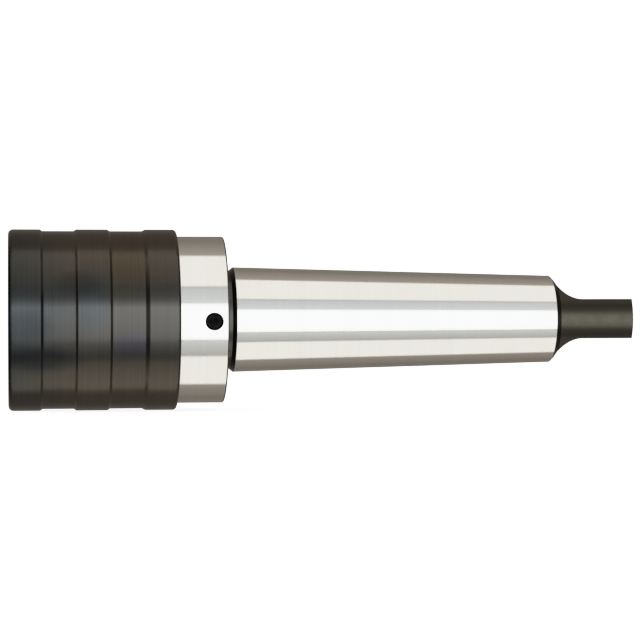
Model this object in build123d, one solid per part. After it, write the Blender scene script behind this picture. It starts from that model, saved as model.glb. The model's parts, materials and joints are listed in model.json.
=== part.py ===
from build123d import *
import os
from math import acos, ceil, cos, degrees, pi, sin, sqrt

# Quick-change tapping chuck with a Morse taper 4 shank and length compensation both ways.
# Millimetres. The turning axis is X: the nose points to -X and the tang to +X, and Z is up.
# The origin is on the axis at the gauge plane of the taper. The lock screw faces -Y.

# Shank: ground taper, tang and the black neck in front of the taper
gauge_dia = 31.267
taper_ratio = 19.254
gauge_to_large_end = 4.5
gauge_to_small_end = 92.4
gauge_to_tang_end = 116.25
tang_dia = 23.2
tang_thickness = 11.9
tang_straight = 15.3
tang_runout_radius = 8.0
tang_end_chamfer = 0.2
neck_shoulder = 0.95
neck_shoulder_length = 1.15
neck_showing = 1.95

# Housing, which is screwed onto the neck and locked by one set screw
housing_wall = 3.9
housing_rear_wall = 9.5
housing_edge_round = 0.3
housing_front_chamfer = 0.6
lock_screw_dia = 5.0
lock_screw_length = 10.0
lock_screw_socket = 2.5
lock_screw_socket_depth = 2.6
lock_screw_to_rear = 4.4
lock_screw_angle = 181.3
lock_screw_spot = 0.6
lock_hole_chamfer = 0.2

# Spring set inside the shank
bush_thread_dia = 24.0
bush_length = 10.1
bush_slot_width = 2.5
bush_slot_depth = 1.6
spring_bore_dia = 20.0
rod_dia = 12.0
rod_neck_dia = 6.0
stop_sleeve_wall = 0.9
plate_thickness = 4.0
nut_across_flats = 10.0
nut_height = 5.0
rod_end_showing = 1.0
rod_edge_chamfer = 0.6
drill_point_dia = 12.0
drill_point_ratio = 0.6
heavy_wire = 2.4
tension_spring_length = 32.0
tension_spring_turns = 6.5
compression_spring_length = 49.0
compression_spring_turns = 9.5

# Floating sleeve: adapter bore at the front, web at the back, ball drive to the housing
float_travel = 8.0
adapter_bore_dia = 31.0
adapter_bore_depth = 34.1
bore_mouth_chamfer = 0.8
relief_depth = 0.2
relief_width = 6.0
sleeve_wall = 4.1
sleeve_edge_chamfer = 0.5
drive_slot_width = 8.0
drive_slot_depth = 4.5
drive_slot_bite = 2.1
screw_dia = 8.0
screw_length = 16.0
screw_head_dia = 13.0
screw_head_height = 5.0
screw_socket = 5.0
screw_socket_depth = 2.8
screw_head_sunk = 0.5
screw_head_chamfer = 0.6
thread_chamfer = 0.5
tapping_runout = 1.5
counterbore_clearance = 0.5
web_core = 3.5
rod_recess = 2.5
drive_ball_dia = 5.0
drive_ball_count = 4
drive_ball_sunk = 0.4
drive_ball_to_rear = 5.5

# Locking balls, and the cone in the collar that works them
locking_ball_dia = 6.0
locking_ball_count = 3
locking_ball_protrusion = 1.25
collar_travel = 5.0
cone_slope = 0.26
cone_past_ball = 1.6

# Collar outside, from the nose to the back
skirt_wall = 1.75
groove_depth = 0.5
band_1_length = 9.7
groove_1_length = 10.0
band_2_length = 9.95
groove_2_length = 10.4
band_3_length = 9.65
groove_wall_length = 0.75
last_wall_length = 1.05
nose_edge_round = 1.5
collar_edge_round = 1.0
nose_recess = 0.4
ring_recess_gap = 0.9
flange_thickness = 2.6

# Retaining ring and return spring of the collar
ring_thickness = 1.2
ring_to_sleeve_front = 1.2
ring_groove_depth = 1.0
ring_proud = 1.7
ring_gap = 5.0
ring_plier_hole_dia = 1.6
light_wire = 1.0
collar_spring_length = 9.0
collar_spring_turns = 2.5

# Clearances
running_fit = 0.05
thread_fit = 0.03
ball_fit = 0.05
cone_gap = 0.02
face_gap = 0.1
stop_gap = 0.3
free_gap = 0.3
spring_gap = 0.2
sleeve_bore_gap = 0.1
seat_gap = 0.02

# Wire of the springs, which is made of straight flat-sided lengths
coil_chord_gap = 0.1
wire_sides = 8

# Places along the axis, each worked out from the one before it
large_end_x = -gauge_to_large_end
neck_rear_x = large_end_x - neck_shoulder_length
housing_rear_x = neck_rear_x - neck_showing
housing_floor_x = housing_rear_x - housing_rear_wall
sleeve_rear_x = housing_floor_x - float_travel - stop_gap
counterbore_depth = screw_head_height + screw_head_sunk
bore_floor_x = sleeve_rear_x - rod_recess - web_core - counterbore_depth
sleeve_front_x = bore_floor_x - adapter_bore_depth
nose_x = sleeve_front_x - nose_recess
collar_length = band_1_length + groove_1_length + band_2_length + groove_2_length + band_3_length
collar_rear_x = nose_x + collar_length
drive_ball_x = sleeve_rear_x - drive_ball_to_rear
ring_x = sleeve_front_x + ring_to_sleeve_front
flange_front_x = ring_x + ring_thickness + face_gap
flange_rear_x = flange_front_x + flange_thickness
locking_ball_x = flange_rear_x + collar_travel + locking_ball_dia / 2 + free_gap
cone_front_x = locking_ball_x - collar_travel
cone_rear_x = locking_ball_x + cone_past_ball
shoulder_x = cone_rear_x + collar_spring_length
housing_front_x = cone_rear_x + float_travel + collar_travel + free_gap
bush_rear_x = housing_floor_x + bush_length
plate_x = bush_rear_x + tension_spring_length
plate_rear_x = plate_x + plate_thickness
spring_bore_end_x = plate_rear_x + compression_spring_length
rod_front_x = sleeve_rear_x - rod_recess
screw_seat_x = bore_floor_x + counterbore_depth
lock_screw_x = housing_rear_x - lock_screw_to_rear

# Radii, each worked out from the one inside it
bore_radius = adapter_bore_dia / 2
sleeve_front_radius = bore_radius + sleeve_wall
sleeve_rear_radius = sleeve_front_radius + light_wire + 2 * spring_gap
housing_bore_radius = sleeve_rear_radius + running_fit
housing_radius = housing_bore_radius + housing_wall
skirt_radius = housing_radius + free_gap
collar_radius = skirt_radius + skirt_wall
ring_outer_radius = sleeve_front_radius + ring_proud
front_recess_radius = ring_outer_radius + ring_recess_gap
drive_slot_radius = bore_radius + drive_slot_bite
drive_ball_circle_radius = sleeve_rear_radius - drive_ball_sunk
ball_radius = locking_ball_dia / 2
ball_rest_radius = bore_radius - locking_ball_protrusion + ball_radius
cone_radius_at_ball = ball_rest_radius + (ball_radius + cone_gap) * sqrt(1 + cone_slope**2)
collar_spring_coil_radius = sleeve_front_radius + spring_gap + light_wire / 2
heavy_coil_radius = spring_bore_dia / 2 - free_gap - heavy_wire / 2


def taper_radius(x):
    return (gauge_dia - x / taper_ratio) / 2


neck_radius = taper_radius(large_end_x) - neck_shoulder


def cone_radius(x):
    return cone_radius_at_ball - cone_slope * (x - locking_ball_x)


def turned(points):
    outline = Polyline(*[(x, 0, radius) for x, radius in points], close=True)
    return revolve(make_face(outline), Axis.X)


def disc(radius, x_from, x_to):
    centre = Pos((x_from + x_to) / 2, 0, 0)
    return centre * Rot(0, 90, 0) * Cylinder(radius, x_to - x_from)


def rims(solid, x, radius):
    circles = solid.edges().filter_by(GeomType.CIRCLE)
    return [e for e in circles if abs(e.arc_center.X - x) < 0.001 and abs(e.radius - radius) < 0.001]


def around(angle):
    return Rot(angle, 0, 0)


def spread(count, first_angle):
    return [first_angle + 360 * n / count for n in range(count)]


def radial_hole(radius, x, inner, outer):
    # along +Y before it is turned about the axis
    return Pos(x, (inner + outer) / 2, 0) * Rot(90, 0, 0) * Cylinder(radius, outer - inner)


def hex_prism(across_flats, x_from, x_to):
    profile = RegularPolygon(across_flats / 2, 6, major_radius=False)
    return Pos(x_from, 0, 0) * Rot(0, 90, 0) * extrude(profile, x_to - x_from)


def coil(wire, radius, x_from, x_to, turns):
    # one pitch too long at each end, then both ends are ground flat on their seats
    pitch = (x_to - x_from - wire) / turns
    start_x = x_from + wire / 2 - pitch
    steps = ceil(pi / acos(1 - coil_chord_gap / radius))
    points = []
    for n in range(round((turns + 2) * steps) + 1):
        angle = 2 * pi * n / steps
        points.append((start_x + pitch * n / steps, radius * cos(angle), radius * sin(angle)))
    path = Polyline(*points)
    section = Plane(path @ 0, z_dir=path % 0) * RegularPolygon(wire / 2, wire_sides)
    bar = sweep(section, path, transition=Transition.RIGHT)
    return bar & disc(radius + wire, x_from + seat_gap, x_to - seat_gap)


def taper_shank():
    small_end = taper_radius(gauge_to_small_end)
    tang_radius = tang_dia / 2
    shank = turned([
        (housing_floor_x, 0),
        (housing_floor_x, neck_radius),
        (neck_rear_x, neck_radius),
        (large_end_x, taper_radius(large_end_x)),
        (gauge_to_small_end, small_end),
        (gauge_to_small_end + small_end - tang_radius, tang_radius),
        (gauge_to_tang_end, tang_radius),
        (gauge_to_tang_end, 0),
    ])
    # the two flats of the tang run out on a cylinder across the shank
    runout_x = gauge_to_tang_end - tang_straight
    span = 2 * gauge_dia
    flat = Pos(runout_x, 0, tang_thickness / 2) * Box(
        gauge_dia, span, gauge_dia, align=(Align.MIN, Align.CENTER, Align.MIN)
    )
    runout = Pos(runout_x, 0, tang_thickness / 2 + tang_runout_radius)
    runout = runout * Rot(90, 0, 0) * Cylinder(tang_runout_radius, span)
    waste = flat + runout
    shank = shank - waste - Rot(180, 0, 0) * waste
    end_edges = shank.faces().sort_by(Axis.X)[-1].edges()
    shank = chamfer(end_edges, tang_end_chamfer)
    # spring bore with a drilled point, and the threaded mouth for the bush
    shank -= disc(spring_bore_dia / 2, bush_rear_x, spring_bore_end_x)
    point_radius = drill_point_dia / 2
    point_end_x = spring_bore_end_x + drill_point_ratio * point_radius
    shank -= turned([(spring_bore_end_x, 0), (spring_bore_end_x, point_radius), (point_end_x, 0)])
    shank -= disc(bush_thread_dia / 2 + thread_fit, housing_floor_x, bush_rear_x)
    # dimple that takes the tip of the lock screw
    tip = neck_radius - lock_screw_spot
    dimple = radial_hole(lock_screw_dia / 2 + thread_fit, lock_screw_x, tip, neck_radius + 1)
    return shank - around(lock_screw_angle) * dimple


def housing():
    neck_hole = neck_radius + thread_fit
    body = turned([
        (housing_front_x, housing_bore_radius),
        (housing_front_x, housing_radius),
        (housing_rear_x, housing_radius),
        (housing_rear_x, neck_hole),
        (housing_floor_x, neck_hole),
        (housing_floor_x, housing_bore_radius),
    ])
    body = fillet(rims(body, housing_rear_x, housing_radius), housing_edge_round)
    body = chamfer(rims(body, housing_front_x, housing_radius), housing_front_chamfer)
    # ball grooves, open at the front so that the sleeve and its balls slide in
    groove_radius = drive_ball_dia / 2 + ball_fit
    groove_end_x = drive_ball_x + float_travel + groove_radius
    for angle in spread(drive_ball_count, 45):
        groove = Pos(0, drive_ball_circle_radius, 0) * disc(groove_radius, housing_front_x - 1, groove_end_x)
        body -= around(angle) * groove
    lock_hole = lock_screw_dia / 2 + thread_fit
    body -= around(lock_screw_angle) * radial_hole(lock_hole, lock_screw_x, neck_hole - 1, housing_radius + 1)
    mouth = Pos(lock_screw_x, housing_radius, 0) * Rot(90, 0, 0)
    mouth = mouth * Cone(lock_hole + lock_hole_chamfer, lock_hole, 2 * lock_hole_chamfer)
    return body - around(lock_screw_angle) * mouth


def lock_screw():
    tip = neck_radius - lock_screw_spot + seat_gap
    top = tip + lock_screw_length
    screw = radial_hole(lock_screw_dia / 2, lock_screw_x, tip, top)
    screw = chamfer(screw.edges().filter_by(GeomType.CIRCLE), thread_chamfer)
    socket = extrude(RegularPolygon(lock_screw_socket / 2, 6, major_radius=False), lock_screw_socket_depth)
    screw -= Pos(lock_screw_x, top, 0) * Rot(90, 0, 0) * socket
    return around(lock_screw_angle) * screw


def guide_bush():
    bush = disc(bush_thread_dia / 2, housing_floor_x, bush_rear_x)
    bush -= disc(rod_dia / 2 + running_fit, housing_floor_x - 1, bush_rear_x + 1)
    slot = Box(2 * bush_slot_depth, 2 * bush_thread_dia, bush_slot_width)
    return bush - Pos(housing_floor_x, 0, 0) * slot


def stop_sleeve():
    inner = rod_dia / 2 + sleeve_bore_gap
    end_x = plate_x - float_travel - face_gap
    sleeve = disc(inner + stop_sleeve_wall, bush_rear_x, end_x)
    return sleeve - disc(inner, bush_rear_x - 1, end_x + 1)


def tension_spring():
    return coil(heavy_wire, heavy_coil_radius, bush_rear_x, plate_x, tension_spring_turns)


def compression_spring():
    return coil(heavy_wire, heavy_coil_radius, plate_rear_x, spring_bore_end_x, compression_spring_turns)


def draw_rod():
    rod_end_x = plate_rear_x + nut_height + rod_end_showing
    rod = disc(rod_dia / 2, rod_front_x, plate_x)
    rod += disc(rod_neck_dia / 2, plate_x, rod_end_x)
    rod = chamfer(rims(rod, rod_front_x, rod_dia / 2), rod_edge_chamfer)
    rod = chamfer(rims(rod, rod_end_x, rod_neck_dia / 2), thread_chamfer)
    thread_end_x = screw_seat_x + screw_length + tapping_runout
    return rod - disc(screw_dia / 2 + thread_fit, rod_front_x, thread_end_x)


def spring_plate():
    plate = disc(spring_bore_dia / 2 - sleeve_bore_gap, plate_x, plate_rear_x)
    return plate - disc(rod_neck_dia / 2 + thread_fit, plate_x - 1, plate_rear_x + 1)


def lock_nut():
    end_x = plate_rear_x + nut_height
    nut = hex_prism(nut_across_flats, plate_rear_x, end_x)
    # both ends of the hexagon are turned down to a cone
    corner = nut_across_flats / sqrt(3)
    bevel = corner - nut_across_flats / 2
    nut &= turned([
        (plate_rear_x, 0),
        (plate_rear_x, corner - bevel),
        (plate_rear_x + bevel / 2, corner),
        (end_x - bevel / 2, corner),
        (end_x, corner - bevel),
        (end_x, 0),
    ])
    return nut - disc(rod_neck_dia / 2 + thread_fit, plate_rear_x - 1, end_x + 1)


def ball_pocket(radius, x, rest_radius):
    # round bottom at the ball's rest place, straight from there to the outside
    pocket = Pos(x, rest_radius, 0) * Sphere(radius)
    return pocket + radial_hole(radius, x, rest_radius, rest_radius + 2 * radius)


def float_sleeve():
    sleeve = turned([
        (sleeve_front_x, 0),
        (sleeve_front_x, sleeve_front_radius),
        (shoulder_x, sleeve_front_radius),
        (shoulder_x, sleeve_rear_radius),
        (sleeve_rear_x, sleeve_rear_radius),
        (sleeve_rear_x, 0),
    ])
    sleeve = chamfer(rims(sleeve, sleeve_front_x, sleeve_front_radius), sleeve_edge_chamfer)
    sleeve = chamfer(rims(sleeve, sleeve_rear_x, sleeve_rear_radius), sleeve_edge_chamfer)
    sleeve -= disc(bore_radius, sleeve_front_x, bore_floor_x)
    sleeve = chamfer(rims(sleeve, sleeve_front_x, bore_radius), bore_mouth_chamfer)
    # relief at the balls, so that burrs there can't grip an adapter
    relief_front_x = locking_ball_x - relief_width / 2
    sleeve -= disc(bore_radius + relief_depth, relief_front_x, relief_front_x + relief_width)
    # seats of the tie screw and of the rod in the web
    sleeve -= disc(screw_head_dia / 2 + counterbore_clearance, bore_floor_x, screw_seat_x)
    sleeve -= disc(screw_dia / 2 + free_gap, screw_seat_x - 1, rod_front_x + 1)
    sleeve -= disc(rod_dia / 2 + thread_fit, rod_front_x, sleeve_rear_x)
    # groove of the retaining ring
    groove = disc(sleeve_front_radius + 1, ring_x - seat_gap, ring_x + ring_thickness + seat_gap)
    groove -= disc(sleeve_front_radius - ring_groove_depth, ring_x - 1, ring_x + ring_thickness + 1)
    sleeve -= groove
    # drive slots on both sides of the mouth, stopping short of the groove
    slots = Box(2 * drive_slot_depth, 2 * drive_slot_radius, drive_slot_width)
    sleeve -= Pos(sleeve_front_x, 0, 0) * slots
    for angle in spread(locking_ball_count, 90):
        sleeve -= around(angle) * ball_pocket(ball_radius + ball_fit, locking_ball_x, ball_rest_radius)
    for angle in spread(drive_ball_count, 45):
        pocket = Pos(drive_ball_x, drive_ball_circle_radius, 0) * Sphere(drive_ball_dia / 2 + ball_fit)
        sleeve -= around(angle) * pocket
    return sleeve


def tie_screw():
    head_top_x = screw_seat_x - screw_head_height
    screw = disc(screw_head_dia / 2, head_top_x, screw_seat_x)
    screw = chamfer(rims(screw, head_top_x, screw_head_dia / 2), screw_head_chamfer)
    screw += disc(screw_dia / 2, screw_seat_x, screw_seat_x + screw_length)
    screw = chamfer(rims(screw, screw_seat_x + screw_length, screw_dia / 2), thread_chamfer)
    return screw - hex_prism(screw_socket, head_top_x, head_top_x + screw_socket_depth)


def drive_ball(angle):
    return around(angle) * Pos(drive_ball_x, drive_ball_circle_radius, 0) * Sphere(drive_ball_dia / 2)


def locking_ball(angle):
    return around(angle) * Pos(locking_ball_x, ball_rest_radius, 0) * Sphere(ball_radius)


def collar_retaining_ring():
    inner = sleeve_front_radius - ring_groove_depth + seat_gap
    ring = disc(ring_outer_radius, ring_x, ring_x + ring_thickness)
    ring -= disc(inner, ring_x - 1, ring_x + ring_thickness + 1)
    middle = (inner + ring_outer_radius) / 2
    ring -= Pos(ring_x, 0, ring_outer_radius) * Box(3 * ring_thickness, ring_gap, 2 * ring_outer_radius)
    hole_angle = degrees((ring_gap / 2 + ring_plier_hole_dia) / middle)
    for angle in (90 - hole_angle, 90 + hole_angle):
        hole = Pos(0, middle, 0) * disc(ring_plier_hole_dia / 2, ring_x - 1, ring_x + ring_thickness + 1)
        ring -= around(angle) * hole
    return ring


def collar_spring():
    return coil(light_wire, collar_spring_coil_radius, cone_rear_x, shoulder_x, collar_spring_turns)


def quick_change_collar():
    outer = collar_radius
    low = outer - groove_depth
    wall = groove_wall_length / 2
    last_wall = last_wall_length / 2
    step_1 = nose_x + band_1_length
    step_2 = step_1 + groove_1_length
    step_3 = step_2 + band_2_length
    step_4 = step_3 + groove_2_length
    pocket = cone_radius(cone_front_x)
    guide = sleeve_front_radius + running_fit
    collar = turned([
        (nose_x, front_recess_radius),
        (nose_x, outer),
        (step_1 - wall, outer),
        (step_1 + wall, low),
        (step_2 - wall, low),
        (step_2 + wall, outer),
        (step_3 - wall, outer),
        (step_3 + wall, low),
        (step_4 - last_wall, low),
        (step_4 + last_wall, outer),
        (collar_rear_x, outer),
        (collar_rear_x, skirt_radius),
        (cone_rear_x, skirt_radius),
        (cone_rear_x, cone_radius(cone_rear_x)),
        (cone_front_x, pocket),
        (flange_rear_x, pocket),
        (flange_rear_x, guide),
        (flange_front_x, guide),
        (flange_front_x, front_recess_radius),
    ])
    collar = fillet(rims(collar, nose_x, outer), nose_edge_round)
    return fillet(rims(collar, collar_rear_x, outer), min(collar_edge_round, 0.6 * skirt_wall))


os.makedirs("parts", exist_ok=True)
pieces = {
    "taper_shank": taper_shank(),
    "housing": housing(),
    "lock_screw": lock_screw(),
    "guide_bush": guide_bush(),
    "stop_sleeve": stop_sleeve(),
    "tension_spring": tension_spring(),
    "compression_spring": compression_spring(),
    "draw_rod": draw_rod(),
    "spring_plate": spring_plate(),
    "lock_nut": lock_nut(),
    "float_sleeve": float_sleeve(),
    "tie_screw": tie_screw(),
    "collar_retaining_ring": collar_retaining_ring(),
    "quick_change_collar": quick_change_collar(),
    "collar_spring": collar_spring(),
}
for number, angle in enumerate(spread(drive_ball_count, 45), 1):
    pieces[f"drive_ball_{number}"] = drive_ball(angle)
for number, angle in enumerate(spread(locking_ball_count, 90), 1):
    pieces[f"locking_ball_{number}"] = locking_ball(angle)
for name, piece in pieces.items():
    piece.label = name
    export_step(piece, f"parts/{name}.step")
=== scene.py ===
import bpy
import json
import math
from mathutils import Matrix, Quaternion, Vector


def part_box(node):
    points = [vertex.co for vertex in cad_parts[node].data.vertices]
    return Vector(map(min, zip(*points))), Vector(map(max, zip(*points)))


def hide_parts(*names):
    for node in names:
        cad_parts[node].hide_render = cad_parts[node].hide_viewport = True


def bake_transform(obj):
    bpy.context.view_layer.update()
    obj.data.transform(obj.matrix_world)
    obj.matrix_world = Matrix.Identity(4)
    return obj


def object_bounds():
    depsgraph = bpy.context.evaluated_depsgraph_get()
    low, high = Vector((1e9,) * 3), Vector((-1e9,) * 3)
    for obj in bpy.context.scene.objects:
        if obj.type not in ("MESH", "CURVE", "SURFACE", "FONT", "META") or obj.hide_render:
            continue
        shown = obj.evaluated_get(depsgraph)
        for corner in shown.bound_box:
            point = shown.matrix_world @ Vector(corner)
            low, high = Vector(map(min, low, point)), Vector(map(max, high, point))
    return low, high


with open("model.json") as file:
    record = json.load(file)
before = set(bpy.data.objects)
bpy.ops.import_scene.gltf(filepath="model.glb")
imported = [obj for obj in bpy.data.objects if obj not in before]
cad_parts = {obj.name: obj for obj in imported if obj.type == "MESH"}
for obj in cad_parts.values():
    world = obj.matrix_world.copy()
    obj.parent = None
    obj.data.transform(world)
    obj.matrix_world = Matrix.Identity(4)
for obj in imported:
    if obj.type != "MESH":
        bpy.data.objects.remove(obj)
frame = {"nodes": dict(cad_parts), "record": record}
cadLow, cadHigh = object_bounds()
nodes = frame["nodes"]
print("frame loaded with", len(nodes), "CAD nodes")

# Node helpers: a value goes on the socket, and a socket is linked to it


def setInput(tree, socket, value):
    if isinstance(value, bpy.types.NodeSocket):
        tree.links.new(value, socket)
    elif value is not None:
        socket.default_value = value


def mathNode(tree, kind, first, second=None, third=None):
    node = tree.nodes.new("ShaderNodeMath")
    node.operation = kind
    for socket, value in zip(node.inputs, (first, second, third)):
        setInput(tree, socket, value)
    return node.outputs[0]


def vectorNode(tree, kind, first, second=None, scale=None):
    node = tree.nodes.new("ShaderNodeVectorMath")
    node.operation = kind
    for number, value in ((0, first), (1, second), (3, scale)):
        setInput(tree, node.inputs[number], value)
    return node.outputs["Vector" if kind == "SCALE" else "Value"]


def fade(tree, value, low, high, lowOut=0.0, highOut=1.0):
    # smooth step from lowOut at low to highOut at high
    node = tree.nodes.new("ShaderNodeMapRange")
    node.interpolation_type = "SMOOTHSTEP"
    for socket, item in zip(node.inputs, (value, low, high, lowOut, highOut)):
        setInput(tree, socket, item)
    return node.outputs[0]


def mixColour(tree, factor, first, second, blend="MIX"):
    node = tree.nodes.new("ShaderNodeMix")
    node.data_type = "RGBA"
    node.blend_type = blend
    setInput(tree, node.inputs[0], factor)
    for socket, colour in ((node.inputs[6], first), (node.inputs[7], second)):
        linked = isinstance(colour, bpy.types.NodeSocket)
        setInput(tree, socket, colour if linked else (*colour, 1))
    return node.outputs[2]


def mixValue(tree, factor, first, second):
    node = tree.nodes.new("ShaderNodeMix")
    for number, item in ((0, factor), (2, first), (3, second)):
        setInput(tree, node.inputs[number], item)
    return node.outputs[0]


def axes(tree, place):
    node = tree.nodes.new("ShaderNodeSeparateXYZ")
    tree.links.new(place, node.inputs[0])
    return node.outputs[0], node.outputs[1], node.outputs[2]


def mapped(tree, place, scale, location=(0, 0, 0)):
    node = tree.nodes.new("ShaderNodeMapping")
    node.inputs["Scale"].default_value = scale
    node.inputs["Location"].default_value = location
    tree.links.new(place, node.inputs["Vector"])
    return node.outputs[0]


def noise(tree, place, scale, detail=2.0, roughness=0.5, distortion=0.0):
    # scale is per metre along x, y and z
    node = tree.nodes.new("ShaderNodeTexNoise")
    node.inputs["Scale"].default_value = 1.0
    node.inputs["Detail"].default_value = detail
    node.inputs["Roughness"].default_value = roughness
    node.inputs["Distortion"].default_value = distortion
    tree.links.new(mapped(tree, place, scale), node.inputs["Vector"])
    return node.outputs[0]


def blendNoise(tree, first, second, share):
    # the first noise has this share, and the second has the rest
    rest = mathNode(tree, "MULTIPLY", second, 1 - share)
    return mathNode(tree, "MULTIPLY_ADD", first, share, rest)


def ramp(tree, factor, stops):
    node = tree.nodes.new("ShaderNodeValToRGB")
    elements = node.color_ramp.elements
    while len(elements) > 1:
        elements.remove(elements[-1])
    elements[0].position = stops[0][0]
    elements[0].color = (*stops[0][1], 1)
    for position, colour in stops[1:]:
        elements.new(position).color = (*colour, 1)
    setInput(tree, node.inputs[0], factor)
    return node.outputs[0]


# Camera at the photograph's angle, in metres

shot = {
    "place": (-0.0693, -0.694, -0.0002),
    "aim": (0.02207, 0.0, -0.0002),
    "lens": 130.2,
    "sensor": 36.0,
    "roll": 0.15,  # degrees
    "nearest": 0.01,
    "farthest": 20,
}


def setCamera():
    data = bpy.data.cameras.new("camera")
    data.lens = shot["lens"]
    data.sensor_width = shot["sensor"]
    data.clip_start = shot["nearest"]
    data.clip_end = shot["farthest"]
    camera = bpy.data.objects.new("camera", data)
    bpy.context.scene.collection.objects.link(camera)
    look = (Vector(shot["aim"]) - Vector(shot["place"])).normalized()
    roll = Quaternion(look, math.radians(shot["roll"]))
    camera.rotation_mode = "QUATERNION"
    camera.rotation_quaternion = roll @ look.to_track_quat("-Z", "Y")
    camera.location = shot["place"]
    bpy.context.scene.camera = camera


setCamera()
print("camera set")

# Light tent: long soft panels round the turning axis. Each has its two edges in degrees from
# the front, with up as plus, its brightness evenly spaced from one edge to the other, and a tint.

tent = {
    "panels": [
        (-180, -176, (0.60, 0.60), (1.00, 1.00, 1.00)),
        (-173, -102, (0.23, 0.19, 0.30), (1.00, 0.89, 0.76)),
        (-100, -51.5, (0.97, 0.97), (1.00, 0.965, 0.895)),
        (-48.5, -29, (0.48, 0.66), (0.98, 1.00, 0.96)),
        (-27, 21, (1.55, 1.55), (0.97, 0.99, 1.00)),
        (23, 44, (0.73, 0.62), (0.97, 1.00, 0.98)),
        (46.5, 98.4, (0.97, 0.97), (1.00, 0.965, 0.895)),
        (100.4, 173, (0.37, 0.22, 0.21), (1.00, 0.89, 0.76)),
        (176, 180, (0.60, 0.60), (1.00, 1.00, 1.00)),
    ],
    "gap": 0.26,  # brightness between two panels, as a share of the darker one
    "brightest": 1.6,
    "side": 0.42,  # what the brightest falls to at the two ends
    "opening": (0.59, 0.79),  # share of a direction along x, where the ends begin and are full
    "backdrop": 1.6,
}


def turnPart(degrees):
    # place on the ramp, which runs once round from the back, by the front, to the back
    return (degrees + 180) / 360


def tentStops():
    stops = []
    before = None
    for start, end, levels, tint in tent["panels"]:
        colours = [[level * t / tent["brightest"] for t in tint] for level in levels]
        if before:
            darkLine = [tent["gap"] * min(a, b) for a, b in zip(before[1], colours[0])]
            stops.append((turnPart((before[0] + start) / 2), darkLine))
        step = (end - start) / (len(levels) - 1)
        for number, colour in enumerate(colours):
            stops.append((turnPart(start + number * step), colour))
        before = (end, colours[-1])
    return stops


def setTent():
    world = bpy.data.worlds.new("lightTent")
    bpy.context.scene.world = world
    world.use_nodes = True
    tree = world.node_tree
    tree.nodes.clear()
    x, y, z = axes(tree, tree.nodes.new("ShaderNodeTexCoord").outputs["Generated"])
    angle = mathNode(tree, "ARCTAN2", z, mathNode(tree, "MULTIPLY", y, -1.0))
    turn = mathNode(tree, "MULTIPLY_ADD", angle, 0.5 / math.pi, 0.5)
    panels = ramp(tree, turn, tentStops())
    # the tent is open at both ends
    along = mathNode(tree, "ABSOLUTE", x)
    side = fade(tree, along, *tent["opening"], tent["brightest"], tent["side"])
    tentLight = tree.nodes.new("ShaderNodeBackground")
    tree.links.new(vectorNode(tree, "SCALE", panels, scale=side), tentLight.inputs["Color"])
    backdrop = tree.nodes.new("ShaderNodeBackground")
    backdrop.inputs["Color"].default_value = (1, 1, 1, 1)
    backdrop.inputs["Strength"].default_value = tent["backdrop"]
    path = tree.nodes.new("ShaderNodeLightPath")
    mix = tree.nodes.new("ShaderNodeMixShader")
    tree.links.new(path.outputs["Is Camera Ray"], mix.inputs[0])
    tree.links.new(tentLight.outputs[0], mix.inputs[1])
    tree.links.new(backdrop.outputs[0], mix.inputs[2])
    out = tree.nodes.new("ShaderNodeOutputWorld")
    tree.links.new(mix.outputs[0], out.inputs["Surface"])


setTent()

# The floor glows as bright as the backdrop, with a painted contact shadow: it glows a little less
# where the chuck is close to it
floorSheet = {
    "side": 8.0,
    "below": 0.00002,
    # shade, reach and open set the painted contact shadow under the chuck
    "shade": 1.1,
    "reach": 0.03,
    "open": 0.4,
    "samples": 8,
}


def layFloor():
    bpy.ops.object.select_all(action="DESELECT")
    height = cadLow.z - floorSheet["below"]
    bpy.ops.mesh.primitive_plane_add(size=floorSheet["side"], location=(0, 0, height))
    floor = bpy.context.active_object
    floor.name = "floor"
    bpy.ops.object.transform_apply(location=True, rotation=True, scale=True)
    material = bpy.data.materials.new("paleFloorWithPaintedShadow")
    material.use_nodes = True
    tree = material.node_tree
    tree.nodes.clear()
    paintedShadowOcclusion = tree.nodes.new("ShaderNodeAmbientOcclusion")
    paintedShadowOcclusion.inputs["Distance"].default_value = floorSheet["reach"]
    paintedShadowOcclusion.samples = floorSheet["samples"]
    levels = (floorSheet["shade"], tent["backdrop"])
    # painted contact shadow: less glow where the chuck is close
    glowWithPaintedShadow = fade(tree, paintedShadowOcclusion.outputs["AO"], 0.0, floorSheet["open"], *levels)
    glow = tree.nodes.new("ShaderNodeEmission")
    glow.inputs["Color"].default_value = (1, 1, 1, 1)
    tree.links.new(glowWithPaintedShadow, glow.inputs["Strength"])
    out = tree.nodes.new("ShaderNodeOutputMaterial")
    tree.links.new(glow.outputs[0], out.inputs["Surface"])
    floor.data.materials.append(material)
    floor.visible_glossy = False
    floor.visible_diffuse = False
    floor.visible_shadow = False


layFloor()

# The camera's response: even up to light grey, then a soft shoulder up to the backdrop's white
response = {"white": tent["backdrop"], "points": [(0.80, 0.80), (1.00, 0.88), (1.33, 0.955)]}


def setResponse():
    view = bpy.context.scene.view_settings
    view.view_transform = "Standard"
    view.look = "None"
    view.use_curve_mapping = True
    mapping = view.curve_mapping
    mapping.white_level = [response["white"]] * 3
    curve = mapping.curves[3]  # the one for all three colours
    for light, shown in response["points"]:
        curve.points.new(light / response["white"], shown)
    for point in curve.points:
        point.handle_type = "VECTOR"
    mapping.update()


setResponse()
print("tent and floor set")

# Materials. All patterns read Object coordinates, which are the frame's own in metres. A range
# is where a pattern starts to tell and where it tells in full, and soft is an edge's rounding.

relief = {
    "edgeSamples": 6,
    "edgeRange": (0.86, 0.99),
    "markStrength": 0.5,
    "spreadTurn": 0.25,  # marks spread the light a quarter turn from their own direction
}


def newMaterial(name):
    material = bpy.data.materials.new(name)
    material.use_nodes = True
    tree = material.node_tree
    shader = tree.nodes["Principled BSDF"]
    shader.inputs["Metallic"].default_value = 1.0
    place = tree.nodes.new("ShaderNodeTexCoord").outputs["Object"]
    return material, tree, shader, place


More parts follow.
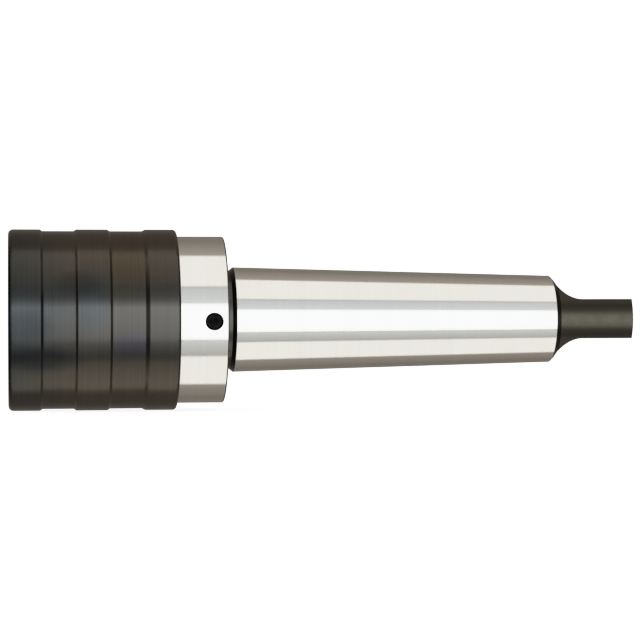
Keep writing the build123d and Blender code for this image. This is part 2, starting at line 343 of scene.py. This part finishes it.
def roundTangent(tree, shader, anisotropy):
    # grinding and turning marks run round the axis
    tangent = tree.nodes.new("ShaderNodeTangent")
    tangent.direction_type = "RADIAL"
    tangent.axis = "X"
    tree.links.new(tangent.outputs[0], shader.inputs["Tangent"])
    shader.inputs["Anisotropic"].default_value = anisotropy
    shader.inputs["Anisotropic Rotation"].default_value = relief["spreadTurn"]


def softEdges(tree, radius):
    bevel = tree.nodes.new("ShaderNodeBevel")
    bevel.samples = relief["edgeSamples"]
    bevel.inputs["Radius"].default_value = radius
    return bevel.outputs[0]


def edgeMask(tree, rounded):
    # 1 on an edge, where the softened normal leaves the surface's own, and 0 away from it
    normal = tree.nodes.new("ShaderNodeNewGeometry").outputs["Normal"]
    match = vectorNode(tree, "DOT_PRODUCT", rounded, normal)
    return fade(tree, match, *relief["edgeRange"], 1.0, 0.0)


def finishSurface(tree, shader, colour, rough, marks, markDepth, rounded):
    bump = tree.nodes.new("ShaderNodeBump")
    bump.inputs["Strength"].default_value = relief["markStrength"]
    bump.inputs["Distance"].default_value = markDepth
    tree.links.new(marks, bump.inputs["Height"])
    tree.links.new(rounded, bump.inputs["Normal"])
    tree.links.new(colour, shader.inputs["Base Color"])
    tree.links.new(rough, shader.inputs["Roughness"])
    tree.links.new(bump.outputs[0], shader.inputs["Normal"])


groundSteel = {
    "bright": (0.905, 0.900, 0.892),
    "dull": (0.868, 0.862, 0.850),
    "lines": {"scale": (2600, 14, 14), "detail": 3, "roughness": 0.65},
    "broad": {"scale": (160, 20, 20)},
    "lineShare": 0.65,
    "shadeRange": (0.34, 0.66),
    "glossRange": (0.30, 0.70),
    "roughness": (0.18, 0.13),  # of the dull and the bright places
    "markDepth": 0.000002,
    "anisotropy": 0.7,
}


def groundColour(tree, place):
    # fine circumferential grinding lines over slow changes of shade
    lines = noise(tree, place, **groundSteel["lines"])
    broad = noise(tree, place, **groundSteel["broad"])
    grain = blendNoise(tree, lines, broad, groundSteel["lineShare"])
    level = fade(tree, grain, *groundSteel["shadeRange"])
    colour = mixColour(tree, level, groundSteel["dull"], groundSteel["bright"])
    rough = fade(tree, grain, *groundSteel["glossRange"], *groundSteel["roughness"])
    return colour, rough, lines


# painted shade: the ring's rounded rear edge is painted dark, and its rear face is ground again
ringRimPaintedShade = {"width": 0.0004, "blend": 0.00005, "shade": (0.06, 0.057, 0.054), "soft": 0.0002}


def makeGroundRing():
    material, tree, shader, place = newMaterial("groundRing")
    ground, rough, lines = groundColour(tree, place)
    along = axes(tree, place)[0]
    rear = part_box("housing")[1].x
    start, blend = rear - ringRimPaintedShade["width"], ringRimPaintedShade["blend"]
    begun = fade(tree, along, start - blend, start + blend)
    notOver = fade(tree, along, rear - blend, rear - blend / 2, 1.0, 0.0)
    onEdge = mathNode(tree, "MULTIPLY", begun, notOver)
    # painted shade on the rounded rear edge
    colour = mixColour(tree, onEdge, ground, ringRimPaintedShade["shade"])
    rounded = softEdges(tree, ringRimPaintedShade["soft"])
    finishSurface(tree, shader, colour, rough, lines, groundSteel["markDepth"], rounded)
    roundTangent(tree, shader, groundSteel["anisotropy"])
    return material


blackOxide = {
    # painted reflection of the tent by height: neutral and bright at mid-height for the front
    # highlight, dark bands above and below it, and browner and lighter towards the top and bottom
    # for the grazing reflections
    "paintedLightByHeight": [
        (-0.027, (0.125, 0.118, 0.108)),
        (-0.020, (0.108, 0.100, 0.084)),
        (-0.0115, (0.058, 0.056, 0.052)),
        (-0.0102, (0.065, 0.063, 0.059)),
        (-0.0079, (0.088, 0.086, 0.082)),
        (-0.0035, (0.094, 0.093, 0.090)),
        (0.0035, (0.117, 0.120, 0.118)),
        (0.0068, (0.070, 0.071, 0.069)),
        (0.012, (0.058, 0.056, 0.050)),
        (0.019, (0.086, 0.078, 0.067)),
        (0.027, (0.121, 0.109, 0.095)),
    ],
    # bluer at the nose, and browner from there on; darker at the nose too, a painted shade where
    # the light falls off towards that end
    "blue": (0.93, 1.02, 1.09),
    "brown": (1.05, 0.99, 0.95),
    "noseRange": (-0.066, -0.042),
    "nosePaintedShade": 0.78,
    "patches": {"scale": (55, 38, 38), "detail": 2.5, "roughness": 0.55, "distortion": 0.6},
    "mottle": 0.012,
    "lines": {"scale": (1900, 10, 10), "detail": 2, "roughness": 0.6},
    "lineRange": (0.25, 0.75),
    "lineShade": (0.92, 1.08),
    "glossRange": (0.30, 0.70),
    "roughness": (0.26, 0.30),
    "markDepth": 0.000003,
    "anisotropy": 0.5,
    "soft": 0.00025,
    "worn": (0.16, 0.145, 0.125),
    "wear": {"scale": (90, 60, 60), "detail": 3},
    "wearRange": (0.35, 0.70),
    "wearCover": (0.2, 0.8),
    "patchFade": (0.35, 1.1),  # "patchFade": (0.35, 1.1), # where a patch of tint and painted shade begins to fade and has faded, as shares of its reach
    "wallCore": 0.4,  # "wallCore": 0.4, # share of a wall's half width that has its full painted shade
}

# painted shade: the rounded edge at the nose is painted dark, and the face inside it isn't
paintedNoseRimShade = {"edge": (-0.0712, -0.0698), "shade": 0.40, "radii": (0.0252, 0.0258)}

# soft patches that tint and darken the colour under them, partly the oxide's own blotches and
# partly painted shade, each with its place and how far it reaches along x, y and z
stainsAndShade = [
    {"place": (-0.0625, 0.0, -0.0113), "reach": (0.014, 1.0, 0.0044), "tint": (0.56, 0.60, 0.66)},
    {"place": (-0.0580, 0.0, 0.0000), "reach": (0.012, 1.0, 0.0110), "tint": (0.85, 0.86, 0.88)},
    {"place": (-0.0515, 0.0, 0.0105), "reach": (0.0085, 1.0, 0.0045), "tint": (0.76, 0.76, 0.77)},
    {"place": (-0.0670, 0.0, -0.0020), "reach": (0.010, 1.0, 0.0060), "tint": (0.72, 0.76, 0.78)},
    {"place": (-0.0470, 0.0, 0.0055), "reach": (0.0065, 1.0, 0.012), "tint": (0.86, 0.96, 1.07)},
    {"place": (-0.0360, 0.0, -0.0075), "reach": (0.0065, 1.0, 0.0050), "tint": (0.93, 0.92, 1.18)},
    {"place": (-0.0370, 0.0, 0.0160), "reach": (0.0070, 1.0, 0.0120), "tint": (1.10, 1.00, 0.90)},
]

# painted shade: the walls between bands and grooves are painted dark at mid-height, where they
# would reflect the tent's dark open ends, and the darkening fades out above and below it
paintedWallShades = [
    {"place": -0.0616, "half": 0.0006, "shade": 0.36, "fade": (0.0060, 0.0115)},
    {"place": -0.0517, "half": 0.0005, "shade": 0.46, "fade": (0.0080, 0.0190)},
    {"place": -0.04175, "half": 0.0005, "shade": 0.55, "fade": (0.0120, 0.0190)},
    {"place": -0.0313, "half": 0.0009, "shade": 0.30, "fade": (0.0070, 0.0210)},
]


def tintedAndShaded(tree, place, colour, patch):
    offset = [-c / r for c, r in zip(patch["place"], patch["reach"])]
    spot = mapped(tree, place, [1 / r for r in patch["reach"]], offset)
    cover = fade(tree, vectorNode(tree, "LENGTH", spot), *blackOxide["patchFade"], 1.0, 0.0)
    return mixColour(tree, cover, colour, patch["tint"], "MULTIPLY")


def rimPaintedShade(tree, x, y, z):
    flat = tree.nodes.new("ShaderNodeCombineXYZ")
    tree.links.new(y, flat.inputs[0])
    tree.links.new(z, flat.inputs[1])
    fromAxis = vectorNode(tree, "LENGTH", flat.outputs[0])
    onRim = fade(tree, fromAxis, *paintedNoseRimShade["radii"])
    # painted shade on the rounded nose edge
    dark = fade(tree, x, *paintedNoseRimShade["edge"], paintedNoseRimShade["shade"], 1.0)
    return mixValue(tree, onRim, 1.0, dark)


def wallPaintedShade(tree, x, z, wall):
    away = mathNode(tree, "ABSOLUTE", mathNode(tree, "SUBTRACT", x, wall["place"]))
    core = blackOxide["wallCore"] * wall["half"]
    # painted shade: a dark line along the wall
    dark = fade(tree, away, core, wall["half"], wall["shade"], 1.0)
    middle = fade(tree, mathNode(tree, "ABSOLUTE", z), *wall["fade"], 1.0, 0.0)
    return mixValue(tree, middle, 1.0, dark)


def oxideColourAndPaintedLight(tree, place, lines):
    x, y, z = axes(tree, place)
    patches = noise(tree, place, **blackOxide["patches"])
    top = blackOxide["paintedLightByHeight"][-1][0]
    height = mathNode(tree, "MULTIPLY_ADD", z, 0.5 / top, 0.5)
    stops = [(0.5 + 0.5 * level / top, colour) for level, colour in blackOxide["paintedLightByHeight"]]
    mottled = mathNode(tree, "MULTIPLY_ADD", patches, blackOxide["mottle"], x)
    fromNose = fade(tree, mottled, *blackOxide["noseRange"])
    tint = mixColour(tree, fromNose, blackOxide["blue"], blackOxide["brown"])
    # painted reflection: the colour by height, under the oxide's bluer and browner tint
    colour = mixColour(tree, 1.0, ramp(tree, height, stops), tint, "MULTIPLY")
    # patches of tint and painted shade
    for patch in stainsAndShade:
        colour = tintedAndShaded(tree, place, colour, patch)
    # painted shade: darker towards the nose
    paintedShades = [fade(tree, mottled, *blackOxide["noseRange"], blackOxide["nosePaintedShade"], 1.0)]
    # painted shade on the nose's rounded rim and on the walls between bands and grooves
    paintedShades += [rimPaintedShade(tree, x, y, z)] + [wallPaintedShade(tree, x, z, wall) for wall in paintedWallShades]
    shade = fade(tree, lines, *blackOxide["lineRange"], *blackOxide["lineShade"])
    for item in paintedShades:
        shade = mathNode(tree, "MULTIPLY", shade, item)
    rough = fade(tree, patches, *blackOxide["glossRange"], *blackOxide["roughness"])
    return vectorNode(tree, "SCALE", colour, scale=shade), rough


def makeBlackOxide():
    material, tree, shader, place = newMaterial("blackOxide")
    lines = noise(tree, place, **blackOxide["lines"])
    colour, rough = oxideColourAndPaintedLight(tree, place, lines)
    rounded = softEdges(tree, blackOxide["soft"])
    patchy = noise(tree, place, **blackOxide["wear"])
    cover = fade(tree, patchy, *blackOxide["wearRange"], *blackOxide["wearCover"])
    wear = mathNode(tree, "MULTIPLY", edgeMask(tree, rounded), cover)
    worn = mixColour(tree, wear, colour, blackOxide["worn"])
    finishSurface(tree, shader, worn, rough, lines, blackOxide["markDepth"], rounded)
    roundTangent(tree, shader, blackOxide["anisotropy"])
    return material


# the shank is black on its neck and shoulder and on its tang end, by x in metres; the shoulder is
# painted darker still, a painted shade
shankZones = {
    "shoulder": -0.0057,
    "shoulderPaintedShade": 0.10,
    "neckEnds": -0.0045,
    "tangStarts": 0.0924,
    "blend": 0.00004,
    "soft": 0.00015,
}

# the tang's oxide is olive, with a painted highlight along its middle line that darkens away from
# it
tangOxide = {
    "paintedLightByHeight": [
        (0.0, (0.113, 0.104, 0.082)),
        (0.0012, (0.104, 0.095, 0.075)),
        (0.0024, (0.068, 0.062, 0.049)),
        (0.0034, (0.050, 0.046, 0.038)),
        (0.0045, (0.042, 0.038, 0.031)),
        (0.0065, (0.053, 0.046, 0.038)),
    ],
    "middle": -0.0005,
    "mottle": {"scale": (260, 260, 260), "detail": 3, "roughness": 0.6},
    "mottleRange": (0.3, 0.7),
    "mottleCover": (0.0, 0.3),
    "mottleTint": (0.05, 0.048, 0.042),
    "roughness": 0.34,
}


def tangColourAndHighlight(tree, place, z):
    top = tangOxide["paintedLightByHeight"][-1][0]
    away = mathNode(tree, "ABSOLUTE", mathNode(tree, "SUBTRACT", z, tangOxide["middle"]))
    stops = [(level / top, colour) for level, colour in tangOxide["paintedLightByHeight"]]
    # painted highlight: lightest along the middle line, darker away from it
    oliveAndHighlight = ramp(tree, mathNode(tree, "DIVIDE", away, top), stops)
    mottle = noise(tree, place, **tangOxide["mottle"])
    cover = fade(tree, mottle, *tangOxide["mottleRange"], *tangOxide["mottleCover"])
    return mixColour(tree, cover, oliveAndHighlight, tangOxide["mottleTint"])


def makeShankSteel():
    material, tree, shader, place = newMaterial("groundShank")
    x, _, z = axes(tree, place)
    ground, groundRough, lines = groundColour(tree, place)
    oxideLines = noise(tree, place, **blackOxide["lines"])
    neckOxideAndPaintedLight, neckRough = oxideColourAndPaintedLight(tree, place, oxideLines)
    blend = shankZones["blend"]
    neckEnds, tangStarts = shankZones["neckEnds"], shankZones["tangStarts"]
    neck = fade(tree, x, neckEnds - blend, neckEnds + blend, 1.0, 0.0)
    tang = fade(tree, x, tangStarts - blend, tangStarts + blend)
    black = mathNode(tree, "MAXIMUM", neck, tang)
    # painted shade: the shoulder chamfer is darkened further
    start = shankZones["shoulder"]
    shoulder = fade(tree, x, start - 2 * blend, start + 2 * blend)
    shoulderShadeFactor = [shankZones["shoulderPaintedShade"]] * 3
    neckWithPaintedShade = mixColour(tree, shoulder, neckOxideAndPaintedLight, shoulderShadeFactor, "MULTIPLY")
    oxide = mixColour(tree, tang, neckWithPaintedShade, tangColourAndHighlight(tree, place, z))
    oxideRough = mixValue(tree, tang, neckRough, tangOxide["roughness"])
    colour = mixColour(tree, black, ground, oxide)
    rough = mixValue(tree, black, groundRough, oxideRough)
    rounded = softEdges(tree, shankZones["soft"])
    finishSurface(tree, shader, colour, rough, lines, groundSteel["markDepth"], rounded)
    roundTangent(tree, shader, groundSteel["anisotropy"])
    return material


# turned, hardened, drawn or rolled steel: two shades, a mark direction and lighter edges, partly
# wear and partly a painted highlight
plainSteel = {
    "marks": {"detail": 3, "roughness": 0.6},
    "stainsAndShade": {"scale": (70, 70, 70)},
    "markShare": 0.6,
    "shadeRange": (0.35, 0.65),
    "glossRange": (0.30, 0.70),
    "markDepth": 0.000004,
    "soft": 0.0002,
    "edgeCover": 0.6,
    "edgeWearAndHighlightGain": 1.25,
    "edgeWearAndHighlightLift": 0.10,
}

# roughness is that of the dark and the light places
plainSteels = [
    {"slot": "black_fastener", "name": "blackFastener", "marks": (900, 900, 900),
     "dark": (0.003, 0.003, 0.003), "light": (0.012, 0.012, 0.012), "roughness": (0.40, 0.28)},
    {"slot": "hardened_sleeve", "name": "hardenedSleeve", "marks": (2200, 14, 14),
     "dark": (0.60, 0.585, 0.56), "light": (0.70, 0.69, 0.67), "roughness": (0.30, 0.20)},
    {"slot": "turned_steel", "name": "turnedSteel", "marks": (1400, 12, 12),
     "dark": (0.52, 0.505, 0.48), "light": (0.66, 0.65, 0.63), "roughness": (0.40, 0.28)},
    {"slot": "ring_steel", "name": "phosphatedRing", "marks": (700, 700, 700),
     "dark": (0.075, 0.075, 0.077), "light": (0.120, 0.120, 0.122), "roughness": (0.50, 0.38)},
    {"slot": "spring_steel", "name": "springWire", "marks": (300, 300, 300),
     "dark": (0.22, 0.22, 0.235), "light": (0.34, 0.34, 0.355), "roughness": (0.42, 0.30)},
    {"slot": "bearing_steel", "name": "bearingBall", "marks": (60, 60, 60),
     "dark": (0.80, 0.80, 0.81), "light": (0.86, 0.86, 0.87), "roughness": (0.09, 0.05)},
]


def makePlainSteel(steel):
    material, tree, shader, place = newMaterial(steel["name"])
    marks = noise(tree, place, steel["marks"], **plainSteel["marks"])
    cloudy = noise(tree, place, **plainSteel["stainsAndShade"])
    level = blendNoise(tree, marks, cloudy, plainSteel["markShare"])
    shade = fade(tree, level, *plainSteel["shadeRange"])
    colour = mixColour(tree, shade, steel["dark"], steel["light"])
    rounded = softEdges(tree, plainSteel["soft"])
    # lighter edges: partly wear, partly a painted highlight on the edges
    onEdge = mathNode(tree, "MULTIPLY", edgeMask(tree, rounded), plainSteel["edgeCover"])
    gain, lift = plainSteel["edgeWearAndHighlightGain"], plainSteel["edgeWearAndHighlightLift"]
    worn = mixColour(tree, onEdge, colour, [min(1.0, gain * c + lift) for c in steel["light"]])
    rough = fade(tree, level, *plainSteel["glossRange"], *steel["roughness"])
    finishSurface(tree, shader, worn, rough, marks, plainSteel["markDepth"], rounded)
    return material


finishes = {
    "ground_shank": makeShankSteel(),
    "ground_ring": makeGroundRing(),
    "black_oxide": makeBlackOxide(),
}
for steel in plainSteels:
    finishes[steel["slot"]] = makePlainSteel(steel)


def dressNodes():
    slots = {row["node"]: row["material_slot"] for row in frame["record"]["subparts"]}
    for name, node in nodes.items():
        for materialSlot in node.material_slots:
            materialSlot.material = finishes[slots[name]]


dressNodes()
print("CAD nodes dressed")

# Springs with closed and ground ends, in the places of the plain CAD coils, in metres

springs = [
    {"name": "tensionSpring", "node": "tension_spring",
     "wire": 0.0024, "coilRadius": 0.0085, "turns": 7.5, "front": "shank", "rear": "float"},
    {"name": "compressionSpring", "node": "compression_spring",
     "wire": 0.0024, "coilRadius": 0.0085, "turns": 10.5, "front": "float", "rear": "shank"},
    {"name": "collarSpring", "node": "collar_spring",
     "wire": 0.0010, "coilRadius": 0.0203, "turns": 3.5, "front": "collar", "rear": "float"},
]
coilShape = {
    "sides": 10,
    "stepsPerTurn": 28,
    "closedTurns": 1.0,
    "sunk": 0.12,  # how far an end turn's middle lies inside its seat, in wires
    "cutThreshold": 0.0000001,
    "smoothAngle": 40,
}


def drawWire(spring):
    # the wire's section, as an open ring of points
    bpy.ops.object.select_all(action="DESELECT")
    bpy.ops.mesh.primitive_circle_add(
        vertices=coilShape["sides"], radius=spring["wire"] / 2, fill_type="NGON",
        location=(0, 0, spring["coilRadius"]), rotation=(math.pi / 2, 0, 0))
    coil = bpy.context.active_object
    coil.name = spring["name"]
    bpy.ops.object.transform_apply(location=True, rotation=True, scale=True)
    bpy.ops.object.mode_set(mode="EDIT")
    bpy.ops.mesh.select_all(action="SELECT")
    bpy.ops.mesh.delete(type="ONLY_FACE")
    bpy.ops.object.mode_set(mode="OBJECT")
    return coil


def windCoil(coil, spring, low, high):
    wire, turns = spring["wire"], spring["turns"]
    steps = round(turns * coilShape["stepsPerTurn"])
    screw = coil.modifiers.new("wind", "SCREW")
    screw.axis = "X"
    screw.angle = 2 * math.pi * turns
    screw.steps = screw.render_steps = steps
    screw.screw_offset = 0
    screw.use_merge_vertices = False
    bpy.ops.object.modifier_apply(modifier="wind")
    # the end turns lie close, and the turns between them share what length is left
    closed = coilShape["closedTurns"]
    start = low.x + coilShape["sunk"] * wire
    rise = high.x - low.x - 2 * coilShape["sunk"] * wire
    pitch = (rise - 2 * closed * wire) / (turns - 2 * closed)
    for vertex in coil.data.vertices:
        turn = (vertex.index // coilShape["sides"]) * turns / steps
        ends = min(turn, closed) + max(turn - (turns - closed), 0)
        vertex.co.x += start + ends * wire + (turn - ends) * pitch


def grindEnds(low, high):
    # close the wire's two ends, then grind both seats flat
    bpy.ops.object.mode_set(mode="EDIT")
    bpy.ops.mesh.select_all(action="SELECT")
    bpy.ops.mesh.fill_holes(sides=0)
    for place, outward in ((low.x, -1), (high.x, 1)):
        bpy.ops.mesh.select_all(action="SELECT")
        bpy.ops.mesh.bisect(
            plane_co=(place, 0, 0), plane_no=(outward, 0, 0), use_fill=True, clear_outer=True,
            threshold=coilShape["cutThreshold"])
    bpy.ops.mesh.select_all(action="SELECT")
    bpy.ops.mesh.normals_make_consistent(inside=False)
    bpy.ops.object.mode_set(mode="OBJECT")
    bpy.ops.object.shade_smooth_by_angle(angle=math.radians(coilShape["smoothAngle"]))


def makeSpring(spring):
    low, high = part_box(spring["node"])
    coil = drawWire(spring)
    windCoil(coil, spring, low, high)
    grindEnds(low, high)
    coil.data.materials.append(finishes["spring_steel"])
    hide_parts(spring["node"])
    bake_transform(coil)


for spring in springs:
    makeSpring(spring)
print("springs wound")
